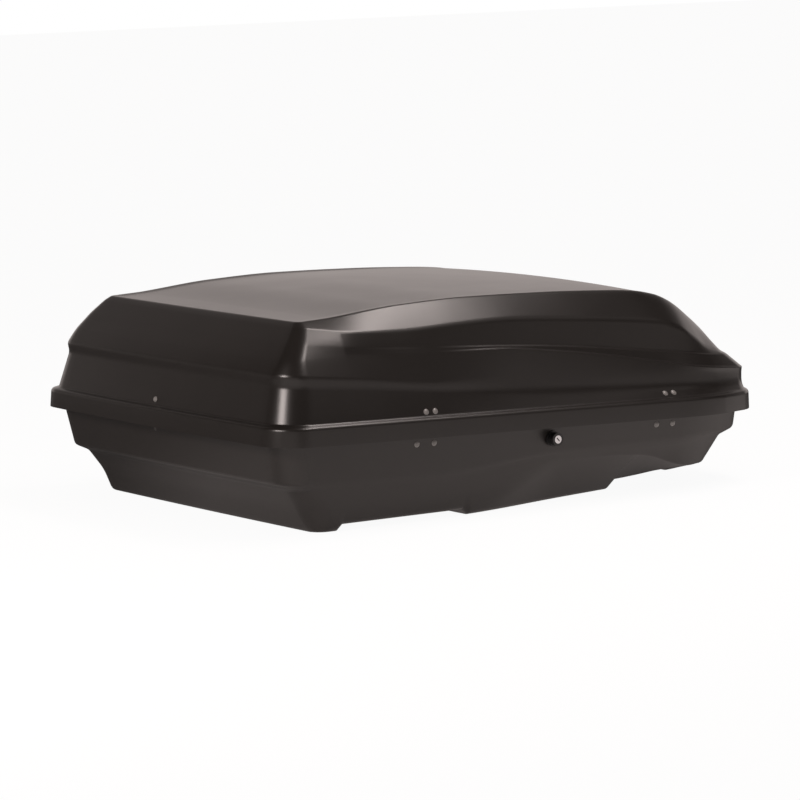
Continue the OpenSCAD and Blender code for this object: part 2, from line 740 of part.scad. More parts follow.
// Lid stays: two arms at each end of the box. The upper arm turns on the lid
// and the lower arm on the tray, and the elbow pin runs in the lower arm's slot.
stay_lid_pin = [7, 15];
stay_base_pin = [21, -41];
stay_upper_angle = 180.66;
stay_elbow = stay_lid_pin + stay_upper_l * [cos(stay_upper_angle), sin(stay_upper_angle)];
stay_lower_l = norm(stay_elbow - stay_base_pin);
stay_lower_angle = atan2(stay_elbow[1] - stay_base_pin[1], stay_elbow[0] - stay_base_pin[0]);
stay_slide = 15.2;
stay_gap = 0.5;
// Outer face of the upper arm at the tail and at the nose
stay_tail_in = 43;
stay_nose_in = 62;
stay_tail_x = -half_l + stay_tail_in;
stay_nose_x = half_l - stay_nose_in;

// Arms lie across the box. Z points to the inside of the box, X across it.
module stay_frame(front) {
    rim_frame()
        translate([front ? stay_nose_x : stay_tail_x, 0, 0])
            mirror([front ? 1 : 0, 0, 0])
                rotate([90, 0, 90])
                    children();
}
module rounded_bar(l, w, t) {
    translate([0, -w / 2, 0])
        cube([l, w, t]);
    for (x = [0, l])
        translate([x, 0, 0])
            cylinder(d = w, h = t);
}
module pin_hole(x, t) {
    translate([x, 0, -1])
        cylinder(d = stay_pin_d + 2 * run_fit, h = t + 2);
}
module stay_upper(front) {
    color(zinc) stay_frame(front)
        translate([stay_lid_pin[0], stay_lid_pin[1], 0])
            rotate([0, 0, stay_upper_angle])
                difference() {
                    rounded_bar(stay_upper_l, stay_w, stay_t);
                    pin_hole(0, stay_t);
                    pin_hole(stay_upper_l, stay_t);
                }
}
module stay_lower(front) {
    slot_half = stay_pin_d / 2 + 0.12;
    color(zinc) stay_frame(front)
        translate([stay_base_pin[0], stay_base_pin[1], stay_t + stay_gap])
            rotate([0, 0, stay_lower_angle])
                difference() {
                    rounded_bar(stay_lower_l + stay_slide, stay_w, stay_t);
                    pin_hole(0, stay_t);
                    translate([stay_lower_l, -slot_half, -1])
                        cube([stay_slide, 2 * slot_half, stay_t + 2]);
                    for (x = [stay_lower_l, stay_lower_l + stay_slide])
                        translate([x, 0, -1])
                            cylinder(r = slot_half, h = stay_t + 2);
                }
}
module stay_elbow_pin(front) {
    head_t = 2;
    color(zinc) stay_frame(front)
        translate([stay_elbow[0], stay_elbow[1], 0]) {
            cylinder(d = stay_pin_d, h = 2 * stay_t + 2 * stay_gap);
            translate([0, 0, 2 * stay_t + 2 * stay_gap])
                cylinder(d = stay_pin_d + 6, h = head_t);
            translate([0, 0, -head_t - stay_gap])
                cylinder(d = stay_pin_d + 4, h = head_t);
            translate([0, 0, -head_t])
                cylinder(d = stay_pin_d, h = head_t + 1);
        }
}

// Outer wall faces at the stay pins, measured from the stay's own plane
function end_face(levels, front, y, z) =
    lookup(z, [for (l = levels) [level_height(l, front ? half_l : -half_l),
                                 front ? nose_x(l, y) : tail_x(l, y)]]);
function lid_end_x(front, z) =
    end_face([lid_levels[2], lid_levels[3], lid_levels[4]], front, stay_lid_pin[0], z);
function tray_end_x(front, z) =
    end_face([tray_levels[1], tray_levels[2], tray_levels[3]], front, stay_base_pin[0], z);
function stay_x(front) = front ? stay_nose_x : stay_tail_x;
function lid_end_depth(front, up = 0) =
    abs(lid_end_x(front, stay_lid_pin[1] + up) - stay_x(front));
function tray_end_depth(front, up = 0) =
    abs(tray_end_x(front, stay_base_pin[1] + up) - stay_x(front));
// Depth of the wall's face under the head of a stud: below, at and above the pin
function lid_head_seat(front) =
    [for (up = [-1, 0, 1]) lid_end_depth(front, up * rivet_head_d / 2)];
function tray_head_seat(front) =
    [for (up = [-1, 0, 1]) tray_end_depth(front, up * rivet_head_d / 2)];

// A stud from a rivet head outside the wall to the arm, with a collar inside
module stay_stud(seat, wall, arm_z) {
    depth = max(seat[1], (seat[0] + seat[2]) / 2);
    lean = atan2(seat[0] - seat[2], rivet_head_d);
    collar_d = stay_pin_d + 6;
    wall_room = wall / cos(lean) + collar_d / 2 * tan(abs(lean)) + head_gap;
    head_t = 1.5;
    translate([0, 0, -depth])
        rotate([lean, 0, 0])
            translate([0, 0, -head_gap - rivet_head_h])
                cylinder(d1 = rivet_head_d * 0.7, d2 = rivet_head_d, h = rivet_head_h);
    translate([0, 0, -depth - head_gap - 1])
        cylinder(d = rivet_d, h = wall_room + head_gap + 2);
    translate([0, 0, -depth + wall_room])
        cylinder(d = collar_d, h = depth - wall_room + arm_z - stay_gap);
    translate([0, 0, arm_z - stay_gap - 1])
        cylinder(d = stay_pin_d, h = stay_t + 2 * stay_gap + 1);
    translate([0, 0, arm_z + stay_t + stay_gap])
        cylinder(d = stay_pin_d + 4, h = head_t);
}
module stay_wall_hole(depth) {
    translate([0, 0, -depth - cut_through / 2])
        cylinder(d = rivet_d + 2 * fit, h = cut_through);
}
module at_lid_pin(front) {
    stay_frame(front) translate([stay_lid_pin[0], stay_lid_pin[1], 0]) children();
}
module at_base_pin(front) {
    stay_frame(front) translate([stay_base_pin[0], stay_base_pin[1], 0]) children();
}

// Steel plates on the channel floors, square to the floor and not to the rim
plate_l = slot_pitch + slot_l + 30;
plate_w = 46;
plate_rivet = [plate_l / 2 - 10, plate_w / 2 - 8];
function floor_place(x) = x * cos(rim_rake) + floor_height(x) * sin(rim_rake) + rim_x;
function channel_floor(x) = (x > 0 ? channel_front_h : channel_h) * cos(rim_rake);

// Z = 0 is the underside of the channel's floor
module for_plate(x, side) {
    translate([floor_place(x), side * slot_track * box_w / 2, channel_floor(x)]) children();
}
module clamp_slots() {
    for (s = [-1, 1])
        translate([s * slot_pitch / 2, 0, -cut_through / 2]) {
            translate([-(slot_l - slot_w) / 2, -slot_w / 2, 0])
                cube([slot_l - slot_w, slot_w, cut_through]);
            for (e = [-1, 1])
                translate([e * (slot_l - slot_w) / 2, 0, 0])
                    cylinder(d = slot_w, h = cut_through);
        }
}
module for_plate_rivets() {
    for (s = [-1, 1])
        translate([s * plate_rivet[0], s * plate_rivet[1], 0])
            rotate([180, 0, 0])
                children();
}
module floor_plate(x, side) {
    color(zinc) for_plate(x, side)
        difference() {
            translate([-plate_l / 2, -plate_w / 2, tray_wall / cos(rim_rake) + fit])
                cube([plate_l, plate_w, plate_t]);
            clamp_slots();
            for_plate_rivets() rivet_hole();
        }
}

module base_shell() {
    color(tray_black)
        difference() {
            rim_frame()
                lofted_shell(tray_levels, tray_stations, tray_wall, 0, false);
            rim_frame() {
                for (x = hinge_places) {
                    for_hinge_rivets_on_tray(x) rivet_hole();
                    for_guide_rivets(x) rivet_hole();
                }
            }
            lock_axis()
                translate([0, 0, housing_end])
                    cylinder(d = housing_d + 2 * fit, h = cut_through);
            for (front = [false, true])
                at_base_pin(front) stay_wall_hole(tray_end_depth(front));
            for (x = [rear_bar, front_bar], side = [-1, 1])
                for_plate(x, side) {
                    clamp_slots();
                    for_plate_rivets() rivet_hole();
                }
        }
}

module lid_shell() {
    color(shell_black)
        difference() {
            rim_frame()
                lofted_shell(lid_levels, lid_stations, lid_wall, roof_crown, true);
            rim_frame()
                for (x = hinge_places) {
                    for_hinge_rivets_on_lid(x) rivet_hole();
                    for_striker_rivets(x) rivet_hole();
                }
            for (front = [false, true])
                at_lid_pin(front) stay_wall_hole(lid_end_depth(front));
        }
}

module hinge_base_leaf_rear() { color(zinc) rim_frame() hinge_base_leaf(rear_hinge); }
module hinge_base_leaf_front() { color(zinc) rim_frame() hinge_base_leaf(front_hinge); }
module hinge_lid_leaf_rear() { color(zinc) rim_frame() hinge_lid_leaf(rear_hinge); }
module hinge_lid_leaf_front() { color(zinc) rim_frame() hinge_lid_leaf(front_hinge); }
module hinge_pin_rear() { color(zinc) rim_frame() hinge_pin(rear_hinge); }
module hinge_pin_front() { color(zinc) rim_frame() hinge_pin(front_hinge); }
module hinge_base_rivets() {
    color(nylon) rim_frame()
        for (x = hinge_places)
            for_hinge_rivets_on_tray(x)
                translate([0, 0, leaf_t + seat_gap]) rivet(leaf_t + seat_gap + tray_wall);
}
module hinge_lid_rivets() {
    color(nylon) rim_frame()
        for (x = hinge_places)
            for_hinge_rivets_on_lid(x) rivet(lid_wall + seat_gap + leaf_t);
}
module bar_guide_rear() { bar_guide(rear_hinge); }
module bar_guide_front() { bar_guide(front_hinge); }
module guide_rivets() {
    color(nylon) rim_frame()
        for (x = hinge_places)
            for_guide_rivets(x) rivet(tray_wall + seat_gap + guide_t);
}
module striker_rear() { striker(rear_hinge); }
module striker_front() { striker(front_hinge); }
module striker_rivets() {
    color(nylon) rim_frame()
        for (x = hinge_places)
            for_striker_rivets(x) rivet(lid_wall + seat_gap + striker_t);
}
module stay_lower_rear() { stay_lower(false); }
module stay_lower_front() { stay_lower(true); }
module stay_upper_rear() { stay_upper(false); }
module stay_upper_front() { stay_upper(true); }
module stay_base_pivots() {
    color(zinc)
        for (front = [false, true])
            at_base_pin(front)
                stay_stud(tray_head_seat(front), tray_wall, stay_t + stay_gap);
}
module stay_lid_pivots() {
    color(zinc)
        for (front = [false, true])
            at_lid_pin(front)
                stay_stud(lid_head_seat(front), lid_wall, 0);
}
module stay_elbow_rear() { stay_elbow_pin(false); }
module stay_elbow_front() { stay_elbow_pin(true); }
module floor_plate_rear_left() { floor_plate(rear_bar, 1); }
module floor_plate_rear_right() { floor_plate(rear_bar, -1); }
module floor_plate_front_left() { floor_plate(front_bar, 1); }
module floor_plate_front_right() { floor_plate(front_bar, -1); }
module floor_plate_rivets() {
    color(zinc)
        for (x = [rear_bar, front_bar], side = [-1, 1])
            for_plate(x, side)
                for_plate_rivets() rivet(tray_wall + plate_t + fit);
}

base_shell();
lid_shell();
hinge_base_leaf_rear();
hinge_base_leaf_front();
hinge_lid_leaf_rear();
hinge_lid_leaf_front();
hinge_pin_rear();
hinge_pin_front();
hinge_base_rivets();
hinge_lid_rivets();
lock_housing();
lock_nut();
lock_barrel();
lock_cam();
latch_bar();
bar_guide_rear();
bar_guide_front();
guide_rivets();
striker_rear();
striker_front();
striker_rivets();
stay_lower_rear();
stay_lower_front();
stay_upper_rear();
stay_upper_front();
stay_base_pivots();
stay_lid_pivots();
stay_elbow_rear();
stay_elbow_front();
floor_plate_rear_left();
floor_plate_rear_right();
floor_plate_front_left();
floor_plate_front_right();
floor_plate_rivets();
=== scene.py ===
"""Looks of a hard shell roof cargo box: moulded lid and tray, lock, rivets, latch and stays."""

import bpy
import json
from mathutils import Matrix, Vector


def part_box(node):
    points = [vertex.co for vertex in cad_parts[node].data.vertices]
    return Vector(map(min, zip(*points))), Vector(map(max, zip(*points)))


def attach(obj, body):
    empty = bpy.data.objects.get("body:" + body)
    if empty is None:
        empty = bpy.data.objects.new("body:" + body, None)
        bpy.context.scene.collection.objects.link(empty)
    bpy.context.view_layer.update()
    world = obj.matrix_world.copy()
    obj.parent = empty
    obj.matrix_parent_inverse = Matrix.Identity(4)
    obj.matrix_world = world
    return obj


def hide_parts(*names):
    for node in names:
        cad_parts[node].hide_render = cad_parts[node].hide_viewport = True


bl_info = {
    "name": "Roof Cargo Box",
    "version": (1, 0, 0),
    "blender": (4, 5, 0),
    "location": "View3D > Sidebar > Cargo Box",
    "description": "Dresses the packed cargo box with moulded shells, finishes and a studio",
    "category": "Object",
}

import json
import math

import bmesh
import bpy
import numpy as np
from bpy.props import FloatProperty, FloatVectorProperty, PointerProperty
from mathutils import Matrix, Vector

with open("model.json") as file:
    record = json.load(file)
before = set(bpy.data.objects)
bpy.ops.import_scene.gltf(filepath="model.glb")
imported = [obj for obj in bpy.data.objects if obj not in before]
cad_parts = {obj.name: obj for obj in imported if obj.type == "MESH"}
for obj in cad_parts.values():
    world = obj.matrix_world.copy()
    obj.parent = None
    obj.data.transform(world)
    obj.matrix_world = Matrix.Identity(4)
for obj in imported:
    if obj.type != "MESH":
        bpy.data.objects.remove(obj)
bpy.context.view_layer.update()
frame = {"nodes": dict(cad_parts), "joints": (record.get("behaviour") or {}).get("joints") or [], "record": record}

MM = 0.001

# The rim's own frame, found from the lid's hinge line below it
HINGE_JOINT = next(j for j in frame["joints"] if j["name"] == "lid_hinge")
HINGE_DROP = 40.0 * MM
RAKE = math.atan2(HINGE_JOINT["axis"][2], -HINGE_JOINT["axis"][0])
RIM_ORIGIN = Vector((
    HINGE_JOINT["pos_m"][0] + HINGE_DROP * math.sin(RAKE),
    0.0,
    HINGE_JOINT["pos_m"][2] + HINGE_DROP * math.cos(RAKE),
))
RIM = Matrix.Translation(RIM_ORIGIN) @ Matrix.Rotation(RAKE, 4, "Y")

# Half length and half width of the rim, that every outline starts from, in millimetres
HALF_L = 572.0
HALF_W = 436.0
# Place along the box from which the sides draw in
NOSE_START = 350.06
# Ends of the sides between the corners, for the lid and for the tray
LID_SIDE = (-400.0, 445.0)
TRAY_SIDE = (-402.0, 450.0)

# Lid: step inside the rim, skirt below it and rise of the roof's middle, in millimetres
LEDGE = 11.0
SKIRT_DROP = 34.0
ROOF_CROWN = 6.7

# Tray: top of its wall, flange under the lid, and depth at a place along the box
TRAY_IN = LEDGE + 14.0
FLANGE_IN = 6.5
FLANGE_UNDER = -8.5
TRAY_DEPTH = 199.9
FLOOR_X = -440.44
# Middle, length and height of each roof bar channel, and the ramp at its ends
CHANNELS = ((-260.0, 266.0, 11.0), (357.0, 173.0, 16.0))
CHANNEL_RAMP = 12.0
NOSE_LIFT = 12.0

# Faces along each run of an outline and round each edge
END_STEPS = 20
CORNER_STEPS = 14
SIDE_STEPS = 132
FILLET_STEPS = 6
# Most that a rounded edge takes of the way to the next outline
FILLET_REACH = 0.45
# Makes s * s * (1 - s) reach 1 at its peak
CROWN_PEAK = 27 / 4
# Edges that turn more than this stay sharp, in degrees
SHARP_ANGLE = 38

# Cutters for the tray, in metres
LOCK_HOLE_R = 12.1 * MM
LOCK_HOLE_SIDES = 40
LOCK_HOLE_PAST = 0.01
SLOT_END_STEPS = 10
SLOT_CUT_DEPTH = 0.04

# Directions of the front screen and of the screen above it
FRONT_SCREEN = (0.6, -0.78, 0.15)
UPPER_SCREEN = (0.58, -0.46, 0.67)
# The floor lies this far below the box, in metres
FLOOR_GAP = 0.0005
# Share of plain white in what the camera sees of the floor; the rest shows the shadow
FLOOR_WHITE = 0.94
SENSOR_WIDTH = 36.0
CLIP_END = 200.0


class Level:
    """One closed outline of a shell, in millimetres.

    tail, nose and side are insets from the rim, tail_r and nose_r corner radii, tail_bow the bow of
    the tail and fillet the size of the rounded edge. A list holds (share of length, value) pairs. A
    height counts from the rim where it is a list, and from the tray's underside where it is a number.
    """

    def __init__(self, tail, nose, side, tail_r, nose_r, tail_bow, height, fillet):
        self.tail = tail
        self.nose = nose
        self.side = side
        self.tail_r = tail_r
        self.nose_r = nose_r
        self.tail_bow = tail_bow
        self.height = height
        self.fillet = fillet


def further_in(start, pairs):
    """Pairs of insets that count from a starting inset."""
    return [(share, start + inset) for share, inset in pairs]


LID_LEVELS = (
    # Lower edge of the skirt, rim and step
    Level(tail=-2, nose=-2, side=[(0, -2)], tail_r=68, nose_r=48, tail_bow=10,
          height=[(0, -SKIRT_DROP)], fillet=0),
    Level(tail=0, nose=0, side=[(0, 0)], tail_r=66, nose_r=46, tail_bow=10,
          height=[(0, 0)], fillet=6),
    Level(tail=LEDGE + 1, nose=LEDGE - 2, side=[(0, LEDGE)], tail_r=63, nose_r=42, tail_bow=10,
          height=[(0, 4)], fillet=3),
    # Lower and upper line of the belt crease
    Level(tail=29.5, nose=9, side=[(0, 29), (0.12, 27), (0.85, 27), (1, 21)],
          tail_r=56, nose_r=36, tail_bow=9,
          height=[(0, 74), (0.17, 62), (0.32, 47), (0.6, 28), (1, 14)],
          fillet=[(0, 7), (0.1, 5), (0.35, 6), (0.6, 14)]),
    Level(tail=28, nose=8, side=[(0, 28), (0.32, 28), (0.5, 31), (0.85, 31), (1, 22)],
          tail_r=50, nose_r=36, tail_bow=9,
          height=[(0, 91), (0.05, 88), (0.17, 77), (0.32, 60), (0.45, 57), (0.6, 54), (0.8, 46),
                  (1, 33)],
          fillet=[(0, 7), (0.1, 5), (0.3, 6), (0.6, 18)]),
    # Side ledge: lower edge, two narrow flats and upper edge
    Level(tail=45, nose=8,
          side=[(0, 42), (0.1, 42), (0.17, 47), (0.3, 46), (0.44, 42), (0.7, 39), (1, 22)],
          tail_r=36, nose_r=32, tail_bow=7,
          height=[(0, 112), (0.1, 114), (0.17, 120), (0.3, 114), (0.36, 114), (0.44, 114),
                  (0.56, 102), (0.68, 85), (0.78, 67), (0.86, 54), (0.95, 45), (1, 43)],
          fillet=[(0, 12), (0.3, 12), (0.36, 2)]),
    Level(tail=55.2, nose=12,
          side=[(0, 49.7), (0.1, 49), (0.17, 48.8), (0.3, 47.4), (0.44, 45.5), (0.7, 42.5),
                (1, 25.5)],
          tail_r=33, nose_r=32, tail_bow=6,
          height=[(0, 124.3), (0.1, 125.2), (0.17, 125.3), (0.3, 118.9), (0.44, 116),
                  (0.56, 104.6), (0.68, 87.6), (0.78, 69.6), (0.86, 56.6), (0.95, 47.6), (1, 45.6)],
          fillet=[(0, 6), (0.3, 6), (0.38, 1)]),
    Level(tail=63.9, nose=40, side=[(0, 56.3), (0.1, 55), (0.17, 50.3), (0.3, 48.6), (0.44, 46.6)],
          tail_r=31, nose_r=34, tail_bow=5,
          height=[(0, 134.8), (0.1, 134.8), (0.17, 129.8), (0.3, 123.1), (0.42, 119.6),
                  (0.5, 115.6), (0.61, 106.4), (0.68, 98.4), (0.81, 83.4), (0.9, 72.4), (1, 64.4)],
          fillet=[(0, 6), (0.3, 6), (0.38, 1)]),
    Level(tail=74, nose=44, side=[(0, 64), (0.1, 62), (0.17, 52), (0.25, 50)],
          tail_r=28, nose_r=34, tail_bow=4,
          height=[(0, 147), (0.1, 146), (0.17, 135), (0.3, 128), (0.36, 125), (0.42, 122),
                  (0.5, 118), (0.61, 109), (0.68, 101), (0.81, 86), (0.9, 75), (1, 67)],
          fillet=[(0, 12), (0.3, 12), (0.36, 2)]),
    # Foot of the shoulder, edge of the roof and border of the roof's panel
    Level(tail=96, nose=50,
          side=[(0, 88), (0.08, 87), (0.11, 80), (0.14, 70), (0.18, 63), (0.24, 61), (1, 60)],
          tail_r=19, nose_r=32, tail_bow=3,
          height=[(0, 171), (0.08, 171), (0.11, 167.5), (0.14, 163), (0.18, 160), (0.264, 158),
                  (0.382, 164), (0.4625, 167), (0.617, 159), (0.707, 152), (0.78, 144),
                  (0.825, 128), (0.861, 104), (0.89, 86), (0.92, 77), (1, 71)],
          fillet=[(0, 4), (0.25, 5), (0.5, 8)]),
    Level(tail=106, nose=56, side=[(0, 102), (0.15, 104), (0.8, 106), (1, 122)],
          tail_r=12, nose_r=30, tail_bow=2,
          height=[(0, 179), (0.096, 180), (0.29, 201), (0.425, 208.5), (0.5, 209), (0.58, 208.5),
                  (0.687, 205), (0.75, 201), (0.8, 191), (0.83, 178), (0.88, 143), (0.92, 112),
                  (0.944, 92), (0.96, 82), (1, 75)],
          fillet=[(0, 6), (0.3, 5), (0.7, 12), (0.82, 30)]),
    Level(tail=120, nose=68, side=[(0, 116), (0.15, 118), (0.8, 120), (1, 136)],
          tail_r=6, nose_r=24, tail_bow=2,
          height=[(0, 177), (0.096, 178), (0.29, 198.5), (0.425, 205.5), (0.5, 206), (0.58, 205.5),
                  (0.687, 203), (0.75, 199.5), (0.8, 190), (0.83, 177), (0.88, 143), (0.92, 114),
                  (0.944, 95), (0.96, 85), (1, 78)],
          fillet=0),
)

# Inset of the floor's edge from the top of the tray's wall, and of its panel from that edge
FLOOR_EDGE = [(0.36, 36), (0.413, 42), (0.615, 93), (0.76, 130), (0.82, 153), (0.87, 172),
              (0.94, 180)]
FLOOR_PANEL_IN = 22

TRAY_LEVELS = (
    # Flange and top of the wall
    Level(tail=FLANGE_IN, nose=FLANGE_IN, side=[(0, FLANGE_IN)], tail_r=60, nose_r=42, tail_bow=10,
          height=[(0, FLANGE_UNDER)], fillet=0),
    Level(tail=TRAY_IN - 10, nose=TRAY_IN - 2, side=[(0, TRAY_IN)], tail_r=50, nose_r=36, tail_bow=10,
          height=[(0, FLANGE_UNDER)], fillet=4),
    # Foot of the upper wall, the fold below it, and the lip over the scoop at the nose
    Level(tail=TRAY_IN + 12, nose=TRAY_IN + 1, side=[(0, TRAY_IN + 13)],
          tail_r=50, nose_r=34, tail_bow=9,
          height=[(0, -107), (0.3, -107), (0.55, -85), (0.7, -80), (0.9, -74), (1, -67)], fillet=6),
    Level(tail=TRAY_IN + 41, nose=TRAY_IN + 34,
          side=further_in(TRAY_IN, [(0, 17), (0.8, 17), (0.94, 30)]),
          tail_r=48, nose_r=32, tail_bow=8,
          height=[(0, -119), (0.3, -119), (0.55, -92), (0.7, -89), (0.9, -84), (1, -78)], fillet=6),
    Level(tail=TRAY_IN + 71, nose=TRAY_IN + 48,
          side=further_in(TRAY_IN, [(0, 25), (0.45, 28), (0.58, 23), (0.68, 24), (0.757, 32),
                                    (0.81, 47), (0.86, 58), (0.94, 80)]),
          tail_r=50, nose_r=26, tail_bow=6,
          height=[(0, -160), (0.45, -152), (0.58, -101), (0.63, -99), (0.68, -101), (0.73, -105),
                  (0.757, -109), (0.78, -116), (0.81, -127), (0.84, -136), (0.87, -140),
                  (0.91, -138), (1, -125)],
          fillet=[(0, 12), (0.4, 24), (0.52, 24), (0.6, 8), (0.68, 3)]),
    # Edge of the floor and border of its panel
    Level(tail=TRAY_IN + 94, nose=TRAY_IN + 46, side=further_in(TRAY_IN, FLOOR_EDGE),
          tail_r=30, nose_r=16, tail_bow=4, height=0.0, fillet=[(0, 10), (0.7, 10), (0.8, 5)]),
    Level(tail=TRAY_IN + 106, nose=TRAY_IN + 60,
          side=further_in(TRAY_IN + FLOOR_PANEL_IN, FLOOR_EDGE),
          tail_r=20, nose_r=8, tail_bow=2, height=0.0, fillet=0),
)


# Lofting

def flow(pairs, at):
    """A smooth curve through given (share, value) pairs, level past both ends."""
    xs = np.array([p[0] for p in pairs], float)
    ys = np.array([p[1] for p in pairs], float)
    if len(xs) == 1:
        return np.full_like(np.asarray(at, float), ys[0])
    steps = np.diff(xs)
    slopes = np.diff(ys) / steps
    tangents = np.zeros_like(ys)
    for i in range(1, len(xs) - 1):
        if slopes[i - 1] * slopes[i] > 0:
            tangents[i] = 2 * slopes[i - 1] * slopes[i] / (slopes[i - 1] + slopes[i])
    tangents[0] = slopes[0]
    tangents[-1] = slopes[-1]
    at = np.clip(np.asarray(at, float), xs[0], xs[-1])
    cell = np.clip(np.searchsorted(xs, at, side="right") - 1, 0, len(xs) - 2)
    t = (at - xs[cell]) / steps[cell]
    rest = 1 - t
    return (
        ys[cell] * (1 + 2 * t) * rest**2
        + ys[cell + 1] * t**2 * (3 - 2 * t)
        + steps[cell] * rest * t * (tangents[cell] * rest - tangents[cell + 1] * t)
    )


def floor_height(x):
    """Height of the tray's underside from the rim, with both bar channels and the lifted nose."""
    front_middle, front_length, _ = CHANNELS[-1]
    steps = [NOSE_LIFT * np.clip((x - front_middle) / (front_length / 2), 0, 1)]
    for middle, length, height in CHANNELS:
        inside = np.clip((length / 2 + CHANNEL_RAMP - np.abs(x - middle)) / CHANNEL_RAMP, 0, 1)
        steps.append(height * inside)
    return -TRAY_DEPTH + math.tan(RAKE) * (x - FLOOR_X) + np.max(steps, axis=0)


def share_of_length(x):
    """Place along the box, from 0 at the tail to 1 at the nose."""
    return x / (2 * HALF_L) + 0.5


def nose_share(shape, x):
    """Share of the width that is left at a place along the box, drawn in towards the nose."""
    return 1 - shape.nose_taper * np.clip((x - NOSE_START) / (HALF_L - NOSE_START), 0, None) ** 2


def ring_of(level, shape, stations):
    """The closed outline of a level as rows of points, from the middle of the tail round by +Y."""
    w = HALF_W - level.side[0][1]
    tail_x = -HALF_L + level.tail + level.tail_bow
    nose_x = HALF_L - level.nose - shape.nose_bow
    turn = np.linspace(0, math.pi / 2, CORNER_STEPS + 1)

    tail_y = (w - level.tail_r) * np.arange(END_STEPS) / END_STEPS
    tail = np.column_stack((np.full(END_STEPS, tail_x), tail_y))
    tail_corner = np.column_stack((
        tail_x + level.tail_r * (1 - np.cos(turn)), w - level.tail_r * (1 - np.sin(turn))))
    side = np.column_stack((stations, np.full(len(stations), w)))
    nose_corner = np.column_stack((
        nose_x - level.nose_r * (1 - np.sin(turn)), w - level.nose_r * (1 - np.cos(turn))))
    nose_y = (w - level.nose_r) * (1 - np.arange(1, END_STEPS + 1) / END_STEPS)
    nose = np.column_stack((np.full(END_STEPS, nose_x), nose_y))

    for part in (tail, tail_corner):
        part[:, 0] -= level.tail_bow * (1 - (part[:, 1] / w) ** 2)
    for part in (nose_corner, nose):
        part[:, 0] += shape.nose_bow * (1 - (part[:, 1] / w) ** 2)
    half = np.vstack((tail, tail_corner, side, nose_corner, nose))

    x = half[:, 0]
    share = share_of_length(x)
    y = half[:, 1] / w * nose_share(shape, x) * (HALF_W - flow(level.side, share))
    if isinstance(level.height, list):
        z = flow(level.height, share)
    else:
        z = floor_height(x) + level.height
    half = np.column_stack((x, y, z))
    other = half[-2:0:-1] * (1, -1, 1)
    return np.vstack((half, other))


def fillet_of(level, x):
    """Size of a level's rounded edge at places along the box."""
    sizes = level.fillet if isinstance(level.fillet, list) else [(0, level.fillet)]
    return flow(sizes, share_of_length(x))


def filleted(rings, levels):
    """All rings of a shell, with a rounded edge at each level between the first and the last."""
    result = [rings[0]]
    steps = np.linspace(0, 1, FILLET_STEPS + 1)
    for k in range(1, len(rings) - 1):
        corner = rings[k]
        cut = fillet_of(levels[k], corner[:, 0])[:, None]
        ends = []
        for other in (rings[k - 1], rings[k + 1]):
            way = other - corner
            reach = np.linalg.norm(way, axis=1, keepdims=True)
            ends.append(corner + way * np.minimum(FILLET_REACH, cut / np.maximum(reach, 1e-6)))
        for t in steps:
            result.append((1 - t) ** 2 * ends[0] + 2 * t * (1 - t) * corner + t**2 * ends[1])
    result.append(rings[-1])
    return result


def panel_of(ring, crown):
    """Rows, columns and inner points of the panel that closes a shell across its last ring."""
    n = len(ring)
    rows = n // 2 - 2 * END_STEPS
    cols = 2 * END_STEPS
    t = np.arange(cols + 1) / cols
    bulge = 4 * t * (1 - t)
    tail = ring[0, 0] - ring[END_STEPS, 0]
    tip = ring[n // 2, 0] - ring[n // 2 - END_STEPS, 0]
    points = []
    for r in range(1, rows):
        a = ring[END_STEPS + r]
        b = ring[n - END_STEPS - r]
        s = r / rows
        line = a + np.outer(t, b - a)
        line[:, 0] += bulge * (tail * (1 - s) ** 4 + tip * s**4)
        line[:, 2] += crown * bulge * CROWN_PEAK * s * s * (1 - s)
        points.append(line[1:-1])
    return rows, cols, np.vstack(points)


def panel_vertex(r, c, rows, cols, n, ring_start, inner_start):
    """Vertex number of a panel's grid point, which on the border is a point of the ring."""
    if r == 0:
        return ring_start + (END_STEPS - c) % n
    if r == rows:
        return ring_start + n // 2 - END_STEPS + c
    if c == 0:
        return ring_start + END_STEPS + r
    if c == cols:
        return ring_start + n - END_STEPS - r
    return inner_start + (r - 1) * (cols - 1) + c - 1


def shell_mesh(name, levels, shape, stations, crown, upward):
    """The outer skin of a shell as a mesh in metres, in the shared frame."""
    rings = filleted([ring_of(level, shape, stations) for level in levels], levels)
    n = len(rings[0])
    bands = len(rings) - 1
    rows, cols, inner = panel_of(rings[-1], crown)
    points = np.vstack(rings + [inner]) * MM
    ring_start = bands * n
    inner_start = ring_start + n
    faces = []
    for k in range(bands):
        for j in range(n):
            m = (j + 1) % n
            faces.append((k * n + j, (k + 1) * n + j, (k + 1) * n + m, k * n + m))
    for r in range(rows):
        for c in range(cols):
            corners = ((r, c), (r, c + 1), (r + 1, c + 1), (r + 1, c))
            faces.append(tuple(
                panel_vertex(a, b, rows, cols, n, ring_start, inner_start) for a, b in corners))
    if not upward:
        faces = [f[::-1] for f in faces]
    mesh = bpy.data.meshes.new(name)
    mesh.from_pydata([tuple(p) for p in points], [], faces)
    mesh.transform(RIM)
    mesh.validate()
    mesh.update()
    return mesh


def new_piece(name, mesh):
    piece = bpy.data.objects.new(name, mesh)
    bpy.context.scene.collection.objects.link(piece)
    return piece


def bake_modifiers(piece):
    """Applies the piece's modifiers, so its mesh is the finished form."""
    bpy.context.view_layer.update()
    graph = bpy.context.evaluated_depsgraph_get()
    mesh = bpy.data.meshes.new_from_object(piece.evaluated_get(graph))
    piece.modifiers.clear()
    old = piece.data
    piece.data = mesh
    bpy.data.meshes.remove(old)


